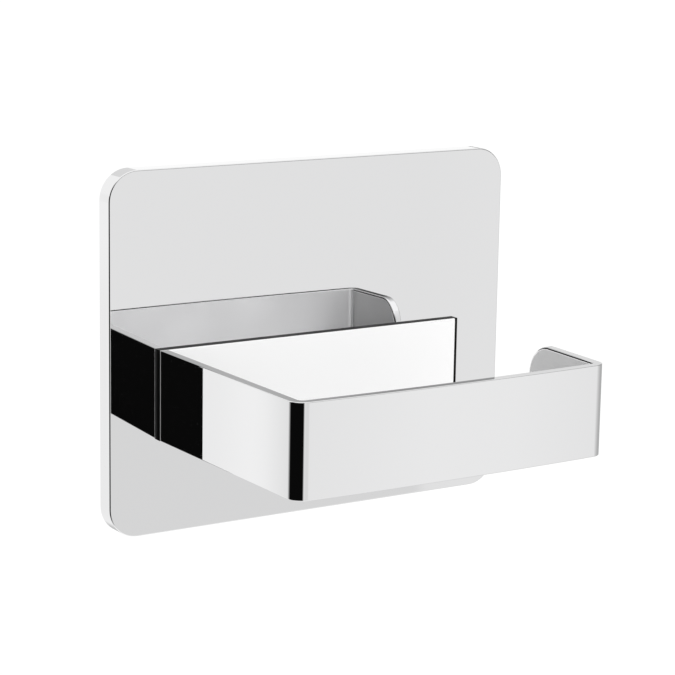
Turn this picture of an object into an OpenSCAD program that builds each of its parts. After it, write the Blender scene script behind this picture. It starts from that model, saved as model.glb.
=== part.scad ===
// Toilet roll holder for a bathroom wall: a shallow polished plate with an open arm of bent
// flat strip that carries the roll.
// +X is to the right seen from the room, +Y goes into the wall and +Z is up.
// The origin is the middle of the back, on the wall.

/* [Plate] */
// Width of the plate
plate_w = 152.5; // [140:0.5:180]
// Height of the plate
plate_h = 120; // [104:1:140]
// Depth of the plate, from its front face to the wall
plate_d = 6.8; // [6.6:0.1:9]
// Outside radius of the plate's corners
plate_corner_r = 10; // [6:0.5:16]
// Radius of the edge round the front face
plate_edge_r = 0.4; // [0.2:0.1:1]
// Thickness of the sheet that the plate is pressed from
sheet_t = 1; // [0.8:0.1:1.4]

/* [Foot] */
// Length by which the foot outruns the arm's outside width, to the right
foot_extra = 1; // [0:0.1:4]
// Thickness of the foot
foot_t = 2.5; // [2:0.1:4]
// Chamfer round the front face of the foot
foot_chamfer = 0.4; // [0.2:0.1:0.8]
// Height of the strip's top edge above the middle of the plate, at the foot
foot_top_z = 1.5; // [-5:0.1:12]

/* [Roll bar] */
// Height of the strip that the arm is bent from
strip_h = 30; // [25:0.5:36]
// Thickness of the strip
strip_t = 3; // [2:0.1:4]
// Outside width of the arm, over the front corner and the lug
bar_span = 115.8; // [106:0.2:124]
// Reach of the arm from the plate's front face
bar_reach = 87.4; // [70:0.2:100]
// Distance of the arm's middle from the plate's middle, to the left
bar_offset = 1.25; // [0:0.05:6]
// Radius to which the front strip is bowed outwards
bow_r = 1200; // [500:50:3000]
// Outside radius of the two bends
bend_r = 4.5; // [4:0.1:8]
// Length of the lug that keeps the roll on, from the front face
lug_l = 40; // [30:0.5:50]
// Angle by which the lug opens outwards from square
lug_splay = 3; // [0:0.2:8]
// Radius of the two corners of the lug's free end
lug_corner_r = 11; // [4:0.5:12]

/* [Foot fixings] */
// Distance between the two studs behind the foot
stud_pitch = 84; // [74:1:100]
// Thread diameter of the studs
stud_d = 4; // [3:0.5:4.5]
// Length of each stud that stands out of its nut
stud_proud = 0.3; // [0.1:0.1:0.4]
// Width of each nut across its flats
nut_flats = 7; // [6:0.5:8]
// Thickness of each nut
nut_t = 3.2; // [2.4:0.1:3.3]
// Outside diameter of each washer
washer_d = 9; // [8:0.5:10]
// Thickness of each washer
washer_t = 0.8; // [0.5:0.1:1]
// Distance from each stud's middle to the end of the strip that backs the plate
backing_end = 11; // [7:0.5:14]
// Height of the backing strip
backing_h = 24; // [16:1:30]
// Thickness of the backing strip
backing_t = 1; // [0.8:0.1:1.2]
// Radius of the backing strip's corners
backing_corner_r = 4; // [1:0.5:7]

/* [Wall bracket] */
// Width of the wall bracket
bracket_w = 60; // [50:1:66]
// Thickness of the bracket's sheet
bracket_t = 1.5; // [1:0.1:1.8]
// Depth of the bracket, from the wall to the front of its two lips
bracket_d = 5.4; // [4.8:0.1:5.6]
// Distance between the two wall screws
wall_screw_pitch = 80; // [70:1:90]
// Diameter of the wall screw holes
wall_screw_hole_d = 5; // [4:0.1:6]
// Width of the two windows in the bracket
window_w = 8; // [5:0.5:12]
// Height of the two windows in the bracket
window_h = 60; // [40:1:80]
// Distance between the middles of the two windows
window_pitch = 40; // [34:1:46]
// Distance between the two hooks that hang the plate on the bracket
hook_pitch = 36; // [24:1:42]
// Width of each hook
hook_w = 12; // [8:0.5:14]
// Thread diameter of the locking screw under the plate
lock_d = 3; // [2.5:0.1:3.4]
// Length of the locking screw's thread
lock_l = 3; // [2.5:0.1:3.4]
// Diameter of the plain point that enters the bracket's lower lip
point_d = 2; // [1.4:0.1:2.2]
// Length of the plain point
point_l = 2; // [1.6:0.1:2.6]
// Width across the flats of the locking screw's socket
lock_key = 1.5; // [1.2:0.1:1.8]
// Depth of the locking screw's socket
lock_key_depth = 1.6; // [1:0.1:2]
// Width of the threaded block that holds the locking screw
lock_block_w = 12; // [8:0.5:16]
// Wall of the threaded block in front of and behind the screw
lock_block_wall = 0.9; // [0.6:0.1:0.9]

/* [Hidden] */
$fn = 96;

// Clearances between pieces that fit together
stud_hole_play = 0.4;
thread_play = 0.1;
hang_gap = 0.3;
drop_in_gap = 2.5;
hook_play = 0.4;
// Overrun of every cut past the surface that it opens
cut_over = 1;

// Plate
front_y = -plate_d;
inside_y = front_y + sheet_t;
inside_h = plate_h - 2 * sheet_t;
straight_w = plate_w - 2 * plate_corner_r;
straight_h = plate_h - 2 * plate_corner_r;

// Arm, seen from above: the front strip is an arc, and a bend joins each of its ends
foot_front_y = front_y - foot_t;
bow_angle = asin((bar_span / 2 - bend_r) / (bow_r - bend_r));
bow_centre_y = front_y - bar_reach + bow_r;
bow_fn = 1440;
bend_dx = bar_span / 2 - bend_r;
bend_y = bow_centre_y - (bow_r - bend_r) * cos(bow_angle);
side_l = foot_front_y - bend_y;
lug_straight = lug_l - bend_r;
root_x = -bar_offset - bar_span / 2;
strip_bottom_z = foot_top_z - strip_h;
// Length by which the other stretches of the strip run into its bends
bend_lap = 0.1;
bow_lap = bend_lap / bow_r * 180 / PI;
// Swelling of the strip in its bends, on every side
bend_swell = 0.01;

// Foot and its fixings
foot_l = bar_span + foot_extra;
backing_l = stud_pitch + 2 * backing_end;
foot_mid_x = root_x + foot_l / 2;
foot_mid_z = foot_top_z - strip_h / 2;
stud_hole_d = stud_d + stud_hole_play;
backing_back_y = inside_y + backing_t;
washer_back_y = backing_back_y + washer_t;
nut_back_y = washer_back_y + nut_t;
stud_end_y = nut_back_y + stud_proud;

// Wall bracket, hung inside the plate
bracket_top_z = inside_h / 2 - hang_gap;
bracket_bottom_z = drop_in_gap - inside_h / 2;
bracket_h = bracket_top_z - bracket_bottom_z;
lip_y = -(bracket_t + bracket_d) / 2;
hook_t = sheet_t;
hook_reach = hang_gap + bracket_t + sheet_t / 2;
lock_block_h = drop_in_gap - hang_gap;
lock_hole_d = lock_d + thread_play;
lock_block_d = lock_hole_d + 2 * lock_block_wall;
point_hole_d = point_d + stud_hole_play;
lock_end_z = hang_gap / 2 - plate_h / 2;

// Extrudes a shape drawn in the plane of the wall, from back_y towards the room
module from_wall(back_y, depth) {
    translate([0, back_y, 0])
        rotate([90, 0, 0])
            linear_extrude(height = depth)
                children();
}

// Copies its children to both studs
module at_studs() {
    for (side = [-1, 1])
        translate([foot_mid_x + side * stud_pitch / 2, foot_mid_z])
            children();
}

module rounded_rect(w, h, r) {
    square([w - 2 * r, h], center = true);
    square([w, h - 2 * r], center = true);
    for (x = [-1, 1], y = [-1, 1])
        translate([x * (w / 2 - r), y * (h / 2 - r)])
            circle(r);
}

// Section of the pressed rim: X runs outwards from the corner's centre, Y from the wall
module rim_section() {
    difference() {
        union() {
            translate([plate_corner_r - sheet_t, 0])
                square([sheet_t, plate_d]);
            translate([0, plate_d - sheet_t])
                square([plate_corner_r, sheet_t]);
        }
        translate([plate_corner_r - plate_edge_r, plate_d - plate_edge_r])
            difference() {
                square([plate_edge_r + cut_over, plate_edge_r + cut_over]);
                circle(plate_edge_r);
            }
    }
}

// One straight side of the rim, at a distance from the plate's middle
module rim_side(distance, length) {
    translate([distance, 0, 0])
        rotate([90, 0, 0])
            linear_extrude(height = length, center = true)
                rim_section();
}

// The pressed tray, drawn flat with its open side down
module tray() {
    for (side = [0, 180]) {
        rotate([0, 0, side])
            rim_side(straight_w / 2, straight_h);
        rotate([0, 0, side + 90])
            rim_side(straight_h / 2, straight_w);
        for (corner = [0, 1])
            rotate([0, 0, side])
                mirror([0, corner, 0])
                    translate([straight_w / 2, straight_h / 2, 0])
                        rotate_extrude(angle = 90)
                            rim_section();
    }
    translate([-straight_w / 2, -straight_h / 2, plate_d - sheet_t])
        cube([straight_w, straight_h, sheet_t]);
}

// Tabs bent down inside the top wall, which drop into the bracket's slots
module hooks() {
    for (side = [-1, 1])
        translate([side * hook_pitch / 2 - hook_w / 2, lip_y - hook_t / 2, inside_h / 2 - hook_reach])
            cube([hook_w, hook_t, hook_reach + sheet_t / 2]);
}

module face_plate() {
    color("gainsboro") {
        difference() {
            rotate([90, 0, 0])
                tray();
            from_wall(inside_y + cut_over, sheet_t + 2 * cut_over)
                at_studs()
                    circle(d = stud_hole_d);
            translate([0, lip_y, -plate_h / 2 - cut_over])
                cylinder(d = lock_hole_d, h = sheet_t + 2 * cut_over);
        }
        hooks();
    }
}

// Plate under the arm, chamfered all round its front face
module foot_plate() {
    c = foot_chamfer;
    color("white")
        translate([root_x, front_y, foot_top_z])
            intersection() {
                rotate([90, 0, 90])
                    linear_extrude(height = foot_l)
                        polygon([
                            [0, 0],
                            [c - foot_t, 0],
                            [-foot_t, -c],
                            [-foot_t, c - strip_h],
                            [c - foot_t, -strip_h],
                            [0, -strip_h],
                        ]);
                translate([0, 0, -strip_h])
                    linear_extrude(height = strip_h)
                        polygon([
                            [0, 0],
                            [0, c - foot_t],
                            [c, -foot_t],
                            [foot_l - c, -foot_t],
                            [foot_l, c - foot_t],
                            [foot_l, 0],
                        ]);
            }
}

// Arc of the strip, with the radius of its outer face
module strip_arc(r, from, turn, fragments, swell = 0) {
    translate([0, 0, -swell])
        rotate_extrude(start = from, angle = turn, $fn = fragments)
            translate([r - strip_t - swell, 0])
                square([strip_t + 2 * swell, strip_h + 2 * swell]);
}

// Front strip, bowed towards the room
module front_strip() {
    translate([0, bow_centre_y, 0])
        strip_arc(bow_r, -90 - bow_angle - bow_lap, 2 * (bow_angle + bow_lap), bow_fn);
}

// Bend at the right end of the front strip, then what follows it.
// What follows starts at the bend's centre: X points out of the strip and Y along it.
module end_bend(turn) {
    translate([bend_dx, bend_y, 0])
        rotate([0, 0, bow_angle - 90]) {
            strip_arc(bend_r, 0, turn, $fn, bend_swell);
            rotate([0, 0, turn])
                children();
        }
}

// Extrudes a side view of the strip through its thickness, under its outer face
module through_strip() {
    translate([bend_r - strip_t, -bend_lap, 0])
        rotate([90, 0, 90])
            linear_extrude(height = strip_t)
                children();
}

// Side strip, from the left bend to the foot's face
module side_strip() {
    through_strip()
        square([side_l + bend_lap, strip_h]);
}

// Lug at the free end, with its two far corners rounded
module lug() {
    full_l = lug_straight + bend_lap;
    through_strip() {
        square([full_l - lug_corner_r, strip_h]);
        translate([0, lug_corner_r])
            square([full_l, strip_h - 2 * lug_corner_r]);
        for (z = [lug_corner_r, strip_h - lug_corner_r])
            translate([full_l - lug_corner_r, z])
                circle(lug_corner_r);
    }
}

// The arm: the lug is at its right end, and the side strip stands on the foot
module roll_bar() {
    color("silver")
        translate([-bar_offset, 0, strip_bottom_z]) {
            front_strip();
            end_bend(90 - bow_angle - lug_splay)
                lug();
            mirror([1, 0, 0])
                end_bend(90 - bow_angle)
                    side_strip();
        }
}

module foot_studs() {
    color("lightsteelblue")
        from_wall(stud_end_y, stud_end_y - front_y)
            at_studs()
                circle(d = stud_d);
}

module backing_strip() {
    color("slategray")
        from_wall(backing_back_y, backing_t)
            difference() {
                translate([foot_mid_x, foot_mid_z])
                    rounded_rect(backing_l, backing_h, backing_corner_r);
                at_studs()
                    circle(d = stud_hole_d);
            }
}

module stud_washers() {
    color("lightgray")
        from_wall(washer_back_y, washer_t)
            at_studs()
                difference() {
                    circle(d = washer_d);
                    circle(d = stud_hole_d);
                }
}

module stud_nuts() {
    color("darkgray")
        from_wall(nut_back_y, nut_t)
            at_studs()
                difference() {
                    circle(d = nut_flats / cos(30), $fn = 6);
                    circle(d = stud_d + thread_play);
                }
}

// Lip of the bracket, bent towards the room, with its outer face at z
module bracket_lip(z) {
    translate([-bracket_w / 2, -bracket_d, z])
        cube([bracket_w, bracket_d, bracket_t]);
}

module wall_bracket() {
    mid_z = (bracket_top_z + bracket_bottom_z) / 2;
    slot_w = hook_w + hook_play;
    slot_d = hook_t + hook_play;
    slot_z = bracket_top_z - bracket_t - cut_over;
    color("lightslategray")
        difference() {
            union() {
                from_wall(0, bracket_t)
                    translate([0, mid_z])
                        square([bracket_w, bracket_h], center = true);
                bracket_lip(bracket_bottom_z);
                bracket_lip(bracket_top_z - bracket_t);
            }
            from_wall(cut_over, bracket_t + 2 * cut_over) {
                for (side = [-1, 1]) {
                    translate([0, side * wall_screw_pitch / 2])
                        circle(d = wall_screw_hole_d);
                    translate([side * window_pitch / 2, 0])
                        rounded_rect(window_w, window_h, window_w / 4);
                }
            }
            for (side = [-1, 1])
                translate([side * hook_pitch / 2 - slot_w / 2, lip_y - slot_d / 2, slot_z])
                    cube([slot_w, slot_d, bracket_t + 2 * cut_over]);
            translate([0, lip_y, bracket_bottom_z - cut_over])
                cylinder(d = point_hole_d, h = bracket_t + 2 * cut_over);
        }
}

// Threaded block on the plate's bottom wall
module lock_block() {
    color("darkkhaki")
        difference() {
            translate([-lock_block_w / 2, lip_y - lock_block_d / 2, -inside_h / 2])
                cube([lock_block_w, lock_block_d, lock_block_h]);
            translate([0, lip_y, -inside_h / 2 - cut_over])
                cylinder(d = lock_hole_d, h = lock_block_h + 2 * cut_over);
        }
}

// Headless screw, whose plain point locks the plate to the bracket's lower lip
module lock_screw() {
    color("dimgray")
        translate([0, lip_y, lock_end_z])
            difference() {
                union() {
                    cylinder(d = lock_d, h = lock_l);
                    cylinder(d = point_d, h = lock_l + point_l);
                }
                translate([0, 0, -cut_over])
                    cylinder(d = lock_key / cos(30), h = lock_key_depth + cut_over, $fn = 6);
            }
}

face_plate();
foot_plate();
roll_bar();
foot_studs();
backing_strip();
stud_washers();
stud_nuts();
wall_bracket();
lock_block();
lock_screw();
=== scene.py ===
# Looks of the toilet roll holder: a polished plate, a white foot and an open arm of bent flat strip.
# Lengths are in metres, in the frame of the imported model: +X right, +Y into the wall, +Z up.
import math

import bpy
from mathutils import Matrix, Vector


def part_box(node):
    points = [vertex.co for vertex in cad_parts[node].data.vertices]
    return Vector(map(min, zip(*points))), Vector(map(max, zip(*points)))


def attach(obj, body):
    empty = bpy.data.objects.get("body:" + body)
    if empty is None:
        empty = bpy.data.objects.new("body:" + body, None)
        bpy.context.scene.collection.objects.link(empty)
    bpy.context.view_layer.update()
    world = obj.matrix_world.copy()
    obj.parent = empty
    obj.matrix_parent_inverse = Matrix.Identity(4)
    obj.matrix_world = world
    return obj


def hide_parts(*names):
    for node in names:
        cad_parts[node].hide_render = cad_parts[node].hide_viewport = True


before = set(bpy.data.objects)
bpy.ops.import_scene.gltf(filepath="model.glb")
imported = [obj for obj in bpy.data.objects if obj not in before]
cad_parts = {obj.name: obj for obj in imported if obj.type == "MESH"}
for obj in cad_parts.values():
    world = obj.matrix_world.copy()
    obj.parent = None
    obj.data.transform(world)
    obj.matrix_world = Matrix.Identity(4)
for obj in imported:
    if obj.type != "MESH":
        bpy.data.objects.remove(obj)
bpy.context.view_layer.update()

MM = 0.001
# Direction from the wall to the room
TO_ROOM = (0, -1, 0)

# Sizes of the arm, as in the solids
PLATE_D = 6.8 * MM
FOOT_T = 2.5 * MM
STRIP_H = 30 * MM
STRIP_T = 3 * MM
STRIP_TOP_Z = 1.5 * MM
BAR_SPAN = 115.8 * MM
BAR_REACH = 87.4 * MM
BAR_OFFSET = 1.25 * MM
BOW_R = 1200 * MM
BEND_R = 4.5 * MM
LUG_L = 40 * MM
LUG_SPLAY = math.radians(3)
LUG_CORNER_R = 11 * MM
# Radius of the strip's long edges, and of the lug's inner ones
EDGE_R = 0.3 * MM
LUG_EDGE_R = 0.8 * MM

# Steps along the strip: side, bend, bowed front, second bend and lug, then the lug's round corners
SIDE_STEPS = 8
BEND_STEPS = 36
BOW_STEPS = 64
LUG_STEPS = 6
CORNER_STEPS = 24
# Steps round one rounded edge, outer or inner
EDGE_STEPS = 6

# How the thin face of the plate leans out of true, as its reflections show: it turns the shading
# normal only, where the plate faces the room: from the first of these cosines, fully at the second
FACE_LEAN = (-0.070, 0.0, 0.020)
LEAN_FACING = (0.9, 0.999)

# Where most values of a noise lie, which the materials spread over a range of their own
NOISE_SPREAD = (0.3, 0.7)

# Chrome's blue against its red and green
CHROME_BLUE = 1.005
# Colours of the other metals, and of the black screw with its worn spots
ZINC = (0.72, 0.74, 0.76)
STEEL = (0.6, 0.62, 0.64)
BRASS = (0.78, 0.64, 0.36)
SCREW_BLACK = (0.03, 0.03, 0.032, 1)
SCREW_WORN = (0.08, 0.08, 0.085, 1)
# Depth of the finest relief
FINE_RELIEF = 0.02 * MM

# The foot: its white coat, the near-black painted shade on its edges, and the painted highlight on its left
# chamfer
COAT_WHITE = (0.97, 0.97, 0.97, 1)
EDGE_SHADE_TONE = 0.003
LEFT_CHAMFER_HIGHLIGHT = 0.4
# The front is what faces the room by more than the first value, and on its left chamfer the normal's X
# is below the second
FRONT_FACING = 0.6
LEFT_FACING = -0.3
FOOT_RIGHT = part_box("foot_plate")[1][0]
# Width of the strip of painted shade at the foot's right end
RIGHT_SHADE_WIDTH = 1.3 * MM

# The floor: its size and height, its tone for matt surfaces, and the share of its shadow that the camera sees
FLOOR_SIZE = 40.0
FLOOR_Z = -0.9
FLOOR_GREY = (0.85, 0.85, 0.85, 1)
SHADOW_SHARE = 0.5

# Walls of the studio, which only the metal shows: how far away, and the widest step round them in degrees
WALL_DISTANCE = 30.0
WALL_STEP = 4.0
# Their brightness at eye height: (azimuth in degrees, 0 towards the room and + to the right, brightness)
WALL_TONES = [
    # Behind the holder on its left: pale, with a thin brighter seam before the grey
    (-180, 0.90), (-153, 0.88), (-151, 0.855), (-150.3, 0.86), (-149.6, 0.893), (-149.3, 0.90),
    (-149.0, 0.88), (-148.6, 0.81), (-147.8, 0.68), (-143.5, 0.58),
    # Left of the holder: black
    (-124, 0.003), (-17, 0.003),
    # Ahead and to the right: pale, then grey. One of the parts below ends between 26.4 and 26.7
    (-8, 0.84), (9, 0.78), (16, 0.80), (26.4, 0.80), (26.7, 0.80), (34, 0.84), (39, 0.835), (44, 0.80),
    (60, 0.62), (85, 0.44), (150, 0.40), (168, 0.62), (180, 0.90),
]
# Heights of the rows up the walls, in degrees
WALL_ROWS = (-30, -10.9, -9.2, 6.3, 6.7, 7.8, 9.0, 9.2, 10.8, 11.6, 27)
# Parts of the walls with another tone: (azimuths, elevations, share of the tone)
WALL_PARTS = [
    # Low and ahead, a little darker
    ((-20, 26.5), (-30, -10.9), 0.89),
    # A thin dark line above eye height, and the band over it
    ((-30, 100), (7.8, 9.0), 0.05),
    ((-30, 100), (9.2, 10.8), 0.77),
    # The upper walls, darker ahead and darkest to the right
    ((-30, 25), (11.6, 27), 0.58),
    ((25, 100), (11.6, 27), 0.40),
    # The pale wall behind on the left, at eye height
    ((-181, -151.5), (-9.2, 6.3), 1.05),
]
# High up, beyond this azimuth on either side, the studio is bright: (from this elevation, brightness)
BRIGHT_BACK = 120
BRIGHT_RIGHT = [(6.7, 1.0), (9.2, 0.72)]
BRIGHT_LEFT = [(6.7, 0.92)]
# The walls fade to the floor and the ceiling: (elevation, brightness)
WALL_FOOT = (-58, 0.78)
WALL_HEAD = (53, 0.90)

# Even light of the world on matt surfaces, and the soft key lamp that points at the holder
DIFFUSE_LEVEL = 1.08
KEY_SIZE = 1.2
KEY_WATTS = 6.0
KEY_PLACE = (-0.7, -1.4, 1.5)

# The camera stands to the left of the holder and a little above it. It sees as far as its reach
YAW = math.radians(32.623)
PITCH = math.radians(11.667)
ROLL = math.radians(0.978)
CAMERA_TARGET = Vector((9.692 * MM, -6.8 * MM, -1.221 * MM))
CAMERA_DISTANCE = 787.552 * MM
CAMERA_REACH = 200.0
SENSOR = 36.0
LENS = 124.4


# Helpers

def add_object(name, data):
    made = bpy.data.objects.new(name, data)
    bpy.context.scene.collection.objects.link(made)
    return made


def new_material(name):
    material = bpy.data.materials.new(name)
    material.use_nodes = True
    material.node_tree.nodes.clear()
    return material, material.node_tree


def feed(tree, socket, value):
    """Links another node's output to a socket, or sets its plain value."""
    if isinstance(value, bpy.types.NodeSocket):
        tree.links.new(value, socket)
    else:
        socket.default_value = value


def node(tree, kind, settings=None, **inputs):
    """Adds a node. Inputs are given by name, with _ for a space, or as i0, i1 for a socket's number."""
    made = tree.nodes.new(kind)
    for key, value in (settings or {}).items():
        setattr(made, key, value)
    for key, value in inputs.items():
        if key[0] == "i" and key[1:].isdigit():
            feed(tree, made.inputs[int(key[1:])], value)
        else:
            feed(tree, made.inputs[key.replace("_", " ")], value)
    return made


def math_node(tree, operation, first, second):
    return node(tree, "ShaderNodeMath", {"operation": operation}, i0=first, i1=second).outputs[0]


def vector_node(tree, operation, **inputs):
    return node(tree, "ShaderNodeVectorMath", {"operation": operation}, **inputs).outputs


def remap(tree, value, source, target=(0.0, 1.0)):
    """Spreads a value's range over another one."""
    return node(tree, "ShaderNodeMapRange", i0=value, i1=source[0], i2=source[1],
                i3=target[0], i4=target[1]).outputs[0]


def noise(tree, scale, detail=3.0, stretch=(1, 1, 1)):
    place = node(tree, "ShaderNodeTexCoord").outputs["Object"]
    scaled = node(tree, "ShaderNodeMapping", Vector=place, Scale=stretch).outputs[0]
    return node(tree, "ShaderNodeTexNoise", Vector=scaled, Scale=scale, Detail=detail).outputs[0]


def towards_room(tree, normal):
    """How squarely a surface faces the room: 1 where it does so fully."""
    return vector_node(tree, "DOT_PRODUCT", i0=normal, i1=TO_ROOM)["Value"]


def x_of(tree, vector):
    return node(tree, "ShaderNodeSeparateXYZ", Vector=vector).outputs[0]


def finish_material(tree, shader):
    node(tree, "ShaderNodeOutputMaterial", Surface=shader.outputs[0])


# Materials

def chrome(name, level, rough=(0.012, 0.03), lean=None):
    """Polished chrome, with faint handling marks in its gloss."""
    material, tree = new_material(name)
    marks = remap(tree, noise(tree, scale=55.0, detail=4.0), (0.35, 0.75), rough)
    shader = node(tree, "ShaderNodeBsdfPrincipled", Base_Color=(level, level, level * CHROME_BLUE, 1),
                  Metallic=1.0, Roughness=marks)
    if lean:
        normal = node(tree, "ShaderNodeNewGeometry").outputs["Normal"]
        flat = remap(tree, towards_room(tree, normal), LEAN_FACING)
        shift = vector_node(tree, "SCALE", i0=lean, Scale=flat)[0]
        leaned = vector_node(tree, "ADD", i0=normal, i1=shift)[0]
        feed(tree, shader.inputs["Normal"], vector_node(tree, "NORMALIZE", i0=leaned)[0])
    finish_material(tree, shader)
    return material


def white_foot():
    """White coated face, with painted shade on its edges and in a strip at the right end, and a painted
    highlight on its left chamfer.
    """
    material, tree = new_material("white_foot")
    geometry = node(tree, "ShaderNodeNewGeometry").outputs
    normal = geometry["Normal"]
    front = math_node(tree, "GREATER_THAN", towards_room(tree, normal), FRONT_FACING)
    left = math_node(tree, "LESS_THAN", x_of(tree, normal), LEFT_FACING)
    left_chamfer = math_node(tree, "MULTIPLY", front, left)
    face = math_node(tree, "SUBTRACT", front, left_chamfer)
    inboard = math_node(tree, "LESS_THAN", x_of(tree, geometry["Position"]), FOOT_RIGHT - RIGHT_SHADE_WIDTH)
    coated = math_node(tree, "MULTIPLY", face, inboard)
    grain = remap(tree, noise(tree, scale=900.0), NOISE_SPREAD, (0.38, 0.46))
    bump = node(tree, "ShaderNodeBump", Strength=0.05, Distance=FINE_RELIEF,
                Height=noise(tree, scale=1500.0, detail=2.0))
    coat = node(tree, "ShaderNodeBsdfPrincipled", Base_Color=COAT_WHITE, Roughness=grain,
                Normal=bump.outputs[0])
    # Not bare metal: near-black painted shade on the edges and the right-end strip, lighter on the left
    # chamfer as a painted highlight
    edge_light_tone = remap(tree, left_chamfer, (0.0, 1.0), (EDGE_SHADE_TONE, LEFT_CHAMFER_HIGHLIGHT))
    worn = remap(tree, noise(tree, scale=90.0), NOISE_SPREAD, (0.3, 0.42))
    metal = node(tree, "ShaderNodeBsdfPrincipled", Base_Color=edge_light_tone, Metallic=0.1,
                 Specular_IOR_Level=0.1, Roughness=worn)
    finish_material(tree, node(tree, "ShaderNodeMixShader", i0=coated, i1=metal.outputs[0],
                               i2=coat.outputs[0]))
    return material


def rolled_metal(name, colour, stretch, rough=(0.25, 0.42)):
    """Plain metal, whose fine grain runs along the axes with the smaller stretch."""
    material, tree = new_material(name)
    lines = noise(tree, scale=60.0, detail=5.0, stretch=stretch)
    tone = remap(tree, noise(tree, scale=35.0, detail=2.0), NOISE_SPREAD, (0.92, 1.06))
    tinted = vector_node(tree, "SCALE", i0=colour, Scale=tone)[0]
    bump = node(tree, "ShaderNodeBump", Strength=0.12, Distance=FINE_RELIEF, Height=lines)
    finish_material(tree, node(tree, "ShaderNodeBsdfPrincipled", Base_Color=tinted, Metallic=1.0,
                               Roughness=remap(tree, lines, NOISE_SPREAD, rough),
                               Normal=bump.outputs[0]))
    return material


def blackened(name):
    """Black oxide, a little worn."""
    material, tree = new_material(name)
    worn = noise(tree, scale=700.0)
    shade = node(tree, "ShaderNodeMix", {"data_type": "RGBA"}, i0=remap(tree, worn, (0.55, 0.75)),
                 i6=SCREW_BLACK, i7=SCREW_WORN).outputs[2]
    finish_material(tree, node(tree, "ShaderNodeBsdfPrincipled", Base_Color=shade, Metallic=0.6,
                               Roughness=remap(tree, worn, NOISE_SPREAD, (0.35, 0.5))))
    return material


strip_chrome = chrome("strip_chrome", level=0.96)
strip_inside = chrome("strip_inside", level=0.98, rough=(0.36, 0.44))
# The lug's inner side: the same satin, darkened as painted shade
lug_painted_shade = chrome("lug_painted_shade", level=0.54, rough=(0.2, 0.28))
zinc = rolled_metal("zinc_plate", ZINC, stretch=(1, 1, 1), rough=(0.3, 0.48))
NODE_MATERIALS = {
    "face_plate": chrome("plate_chrome", level=0.93, lean=FACE_LEAN),
    "foot_plate": white_foot(),
    "roll_bar": strip_chrome,
    "foot_studs": zinc,
    "stud_washers": zinc,
    "stud_nuts": zinc,
    "backing_strip": rolled_metal("backing_steel", STEEL, stretch=(1, 1, 14)),
    "wall_bracket": rolled_metal("bracket_steel", STEEL, stretch=(14, 1, 1)),
    "lock_block": rolled_metal("block_brass", BRASS, stretch=(1, 8, 1), rough=(0.2, 0.35)),
    "lock_screw": blackened("screw_black"),
}
for name, material in NODE_MATERIALS.items():
    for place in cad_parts[name].material_slots:
        place.material = material


# The arm

def strip_path():
    """Stations from the foot to the lug's end: (point on the outer face, direction, outward normal)."""
    bend_dx = BAR_SPAN / 2 - BEND_R
    bow = math.asin(bend_dx / (BOW_R - BEND_R))
    bow_y = -PLATE_D - BAR_REACH + BOW_R
    bend_y = bow_y - (BOW_R - BEND_R) * math.cos(bow)
    foot_y = -PLATE_D - FOOT_T
    stations = []

    def put(x, y, turn):
        # turn is the outward normal's angle from -X towards -Y
        outward = (-math.cos(turn), -math.sin(turn))
        along = (math.sin(turn), -math.cos(turn))
        stations.append(((x - BAR_OFFSET, y), along, outward))

    def arc(cx, cy, radius, start, end, steps):
        for i in range(1, steps + 1):
            turn = start + (end - start) * i / steps
            put(cx - radius * math.cos(turn), cy - radius * math.sin(turn), turn)

    ahead = math.pi / 2
    for i in range(SIDE_STEPS + 1):
        put(-BAR_SPAN / 2, foot_y + (bend_y - foot_y) * i / SIDE_STEPS, 0.0)
    arc(-bend_dx, bend_y, BEND_R, 0.0, ahead - bow, BEND_STEPS)
    arc(0.0, bow_y, BOW_R, ahead - bow, ahead + bow, BOW_STEPS)
    arc(bend_dx, bend_y, BEND_R, ahead + bow, math.pi - LUG_SPLAY, BEND_STEPS)
    (x, y), along, outward = stations[-1]
    straight = LUG_L - BEND_R - LUG_CORNER_R
    for i in range(1, LUG_STEPS + 1):
        d = straight * i / LUG_STEPS
        stations.append(((x + along[0] * d, y + along[1] * d), along, outward))
    return stations


def edge_profile(inner_r):
    """Round the strip's edge, outer to inner face: (inset, depth, normal's share outwards, edgewards)."""
    angles = [math.pi / 2 * i / EDGE_STEPS for i in range(EDGE_STEPS + 1)]
    outer = [(EDGE_R * (1 - math.sin(a)), EDGE_R * (1 - math.cos(a)), math.cos(a), math.sin(a))
             for a in angles]
    inner = [(inner_r * (1 - math.cos(a)), STRIP_T - inner_r * (1 - math.sin(a)), -math.sin(a), math.cos(a))
             for a in angles]
    return outer + inner


def strip_rings(columns, lug_bend_start, lug_start):
    """Points and normals of the strip. Each column is a ring: the top edge, then the bottom edge."""
    middle = STRIP_TOP_Z - STRIP_H / 2
    verts, normals = [], []
    for c, (((x, y), along, outward), swing) in enumerate(columns):
        # The inner edges grow rounder along the second bend
        lug_share = min(max((c - lug_bend_start) / (lug_start - lug_bend_start), 0), 1)
        profile = edge_profile(EDGE_R + (LUG_EDGE_R - EDGE_R) * lug_share)
        forward, upright = math.sin(swing), math.cos(swing)
        for side, points in ((1, profile), (-1, profile[::-1])):
            for inset, depth, face, edge in points:
                reach = (LUG_CORNER_R - inset) * forward
                height = STRIP_H / 2 - LUG_CORNER_R + (LUG_CORNER_R - inset) * upright
                verts.append((x + along[0] * reach - outward[0] * depth,
                              y + along[1] * reach - outward[1] * depth,
                              middle + side * height))
                normals.append((outward[0] * face + along[0] * forward * edge,
                                outward[1] * face + along[1] * forward * edge,
                                side * upright * edge))
    return verts, normals


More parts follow.
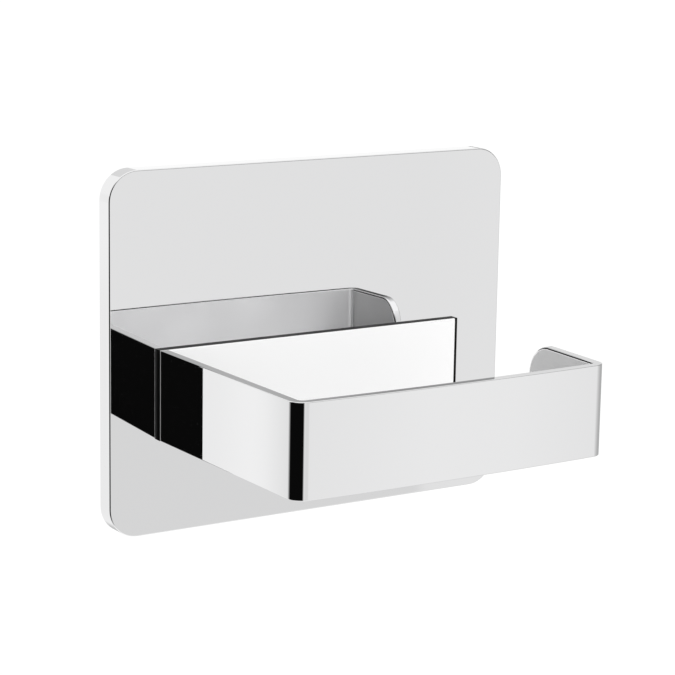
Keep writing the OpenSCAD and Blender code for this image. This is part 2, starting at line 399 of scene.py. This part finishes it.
def make_roll_bar():
    """The arm: one closed strip with rounded edges and two round corners on its lug."""
    stations = strip_path()
    lug_start = len(stations) - 1 - LUG_STEPS
    columns = [(station, 0.0) for station in stations]
    columns += [(stations[-1], math.pi / 2 * i / CORNER_STEPS) for i in range(1, CORNER_STEPS + 1)]
    verts, normals = strip_rings(columns, lug_start - BEND_STEPS, lug_start)
    half = 2 * (EDGE_STEPS + 1)
    ring = 2 * half
    faces = []
    for c in range(len(columns) - 1):
        for k in range(ring):
            n = (k + 1) % ring
            a, b = c * ring, (c + 1) * ring
            faces.append((a + k, b + k, b + n, a + n))
    # The lug's end, then the end that stands on the foot
    last = (len(columns) - 1) * ring
    for k in range(half - 1):
        faces.append((last + k, last + ring - 1 - k, last + ring - 2 - k, last + k + 1))
    foot_end = len(faces)
    faces.append(tuple(range(ring)))

    mesh = bpy.data.meshes.new("roll_bar_strip")
    mesh.from_pydata(verts, [], faces)
    mesh.update()
    mesh.polygons.foreach_set("use_smooth", [True] * len(mesh.polygons))
    # Faces are wound so that they look outwards
    outside = [Vector(normals[p.vertices[0]]) + Vector(normals[p.vertices[2]]) for p in mesh.polygons]
    if sum(p.normal.dot(o) for p, o in zip(mesh.polygons, outside)) < 0:
        mesh.flip_normals()
    corner_normals = [normals[loop.vertex_index] for loop in mesh.loops]
    for i in mesh.polygons[foot_end].loop_indices:
        corner_normals[i] = (0.0, 1.0, 0.0)
    mesh.normals_split_custom_set(corner_normals)
    for material in (strip_chrome, strip_inside, lug_painted_shade):
        mesh.materials.append(material)
    # The inner side is satin, and on the lug a darker copy of it paints shade
    for c in range(len(columns) - 1):
        mesh.polygons[c * ring + half - 1].material_index = 2 if c >= lug_start else 1
    piece = add_object("roll_bar_strip", mesh)
    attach(piece, "root")
    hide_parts("roll_bar")


# Studio

def background_rays(tree):
    """1 for the rays that show the background: straight from the camera, or by metal or glass."""
    path = node(tree, "ShaderNodeLightPath").outputs
    direct = math_node(tree, "MAXIMUM", path["Is Camera Ray"], path["Is Transmission Ray"])
    return math_node(tree, "MAXIMUM", direct, path["Is Glossy Ray"])


def make_floor():
    """Pale floor under the holder: white to the camera, less half of the shadow that falls on it."""
    mesh = bpy.data.meshes.new("floor")
    size, z = FLOOR_SIZE, FLOOR_Z
    corners = [(-size, -size, z), (size, -size, z), (size, size, z), (-size, size, z)]
    mesh.from_pydata(corners, [], [(0, 1, 2, 3)])
    floor = add_object("floor", mesh)
    material, tree = new_material("floor_pale")
    matte = node(tree, "ShaderNodeBsdfDiffuse", Color=FLOOR_GREY)
    share = SHADOW_SHARE
    shaded = node(tree, "ShaderNodeBsdfDiffuse", Color=(share, share, share, 1))
    even = node(tree, "ShaderNodeEmission", Color=(1, 1, 1, 1), Strength=1 - share)
    white = node(tree, "ShaderNodeAddShader", i0=shaded.outputs[0], i1=even.outputs[0])
    finish_material(tree, node(tree, "ShaderNodeMixShader", i0=background_rays(tree),
                               i1=matte.outputs[0], i2=white.outputs[0]))
    mesh.materials.append(material)
    # The walls are far away, so a floor seen in the metal would hide them
    floor.visible_glossy = False


def wall_tone(azimuth, height, tone):
    """A wall's brightness at a height, from its tone at eye height."""
    if abs(azimuth) > BRIGHT_BACK:
        steps = BRIGHT_RIGHT if azimuth > 0 else BRIGHT_LEFT
        bright = [level for start, level in steps if height >= start]
        if bright:
            return bright[-1]
    for (left, right), (low, high), share in WALL_PARTS:
        if left < azimuth < right and low <= height <= high:
            return tone * share
    return tone


def make_walls():
    """Soft grey and dark walls round the room, which only the metal shows."""
    stops = []
    for (start, low), (end, high) in zip(WALL_TONES, WALL_TONES[1:]):
        steps = math.ceil((end - start) / WALL_STEP)
        stops += [(start + (end - start) * i / steps, low + (high - low) * i / steps) for i in range(steps)]
    stops.append(WALL_TONES[-1])
    verts, tones = [], []
    for azimuth, tone in stops:
        turn = math.radians(azimuth)
        middle = [(height, wall_tone(azimuth, height, tone)) for height in WALL_ROWS]
        for height, value in [WALL_FOOT, *middle, WALL_HEAD]:
            rise = WALL_DISTANCE * math.tan(math.radians(height))
            verts.append((WALL_DISTANCE * math.sin(turn), -WALL_DISTANCE * math.cos(turn), rise))
            tones.append(value)
    rows = len(WALL_ROWS) + 2
    faces = [(c * rows + r, (c + 1) * rows + r, (c + 1) * rows + r + 1, c * rows + r + 1)
             for c in range(len(stops) - 1) for r in range(rows - 1)]
    mesh = bpy.data.meshes.new("studio_walls")
    mesh.from_pydata(verts, [], faces)
    mesh.attributes.new("tone", "FLOAT", "POINT").data.foreach_set("value", tones)
    walls = add_object("studio_walls", mesh)
    material, tree = new_material("wall_tones")
    tone = node(tree, "ShaderNodeAttribute", {"attribute_name": "tone"}).outputs["Fac"]
    finish_material(tree, node(tree, "ShaderNodeEmission", Color=(1, 1, 1, 1), Strength=tone))
    mesh.materials.append(material)
    walls.visible_camera = False
    walls.visible_diffuse = False
    walls.visible_transmission = False
    walls.visible_shadow = False


def make_world():
    """White where the background shows, and even light on matt surfaces."""
    world = bpy.data.worlds.new("studio")
    bpy.context.scene.world = world
    world.use_nodes = True
    tree = world.node_tree
    tree.nodes.clear()
    level = node(tree, "ShaderNodeMix", {"data_type": "FLOAT"}, i0=background_rays(tree),
                 i2=DIFFUSE_LEVEL, i3=1.0).outputs[0]
    back = node(tree, "ShaderNodeBackground", Color=(1, 1, 1, 1), Strength=level)
    node(tree, "ShaderNodeOutputWorld", Surface=back.outputs[0])


def make_key_light():
    """Large soft lamp, high and to the left, which gives the floor its shadow."""
    data = bpy.data.lights.new("key", "AREA")
    data.shape = "SQUARE"
    data.size = KEY_SIZE
    data.energy = KEY_WATTS
    lamp = add_object("key", data)
    lamp.location = KEY_PLACE
    lamp.rotation_euler = (-lamp.location).to_track_quat("-Z", "Y").to_euler()
    lamp.visible_glossy = False
    lamp.visible_camera = False


def make_camera():
    """Camera on the left of the holder, which looks a little down on it and leans by its roll."""
    forward = Vector((math.sin(YAW) * math.cos(PITCH), math.cos(YAW) * math.cos(PITCH), -math.sin(PITCH)))
    level = Vector((math.cos(YAW), -math.sin(YAW), 0))
    up = level.cross(forward)
    right = math.cos(ROLL) * level + math.sin(ROLL) * up
    upright = -math.sin(ROLL) * level + math.cos(ROLL) * up
    data = bpy.data.cameras.new("camera")
    data.sensor_width = SENSOR
    data.lens = LENS
    data.clip_end = CAMERA_REACH
    camera = add_object("camera", data)
    turned = Matrix((right, upright, -forward)).transposed().to_4x4()
    camera.matrix_world = Matrix.Translation(CAMERA_TARGET - forward * CAMERA_DISTANCE) @ turned
    bpy.context.scene.camera = camera


make_roll_bar()
make_floor()
make_walls()
make_world()
make_key_light()
make_camera()
bpy.context.scene.view_settings.view_transform = "Standard"
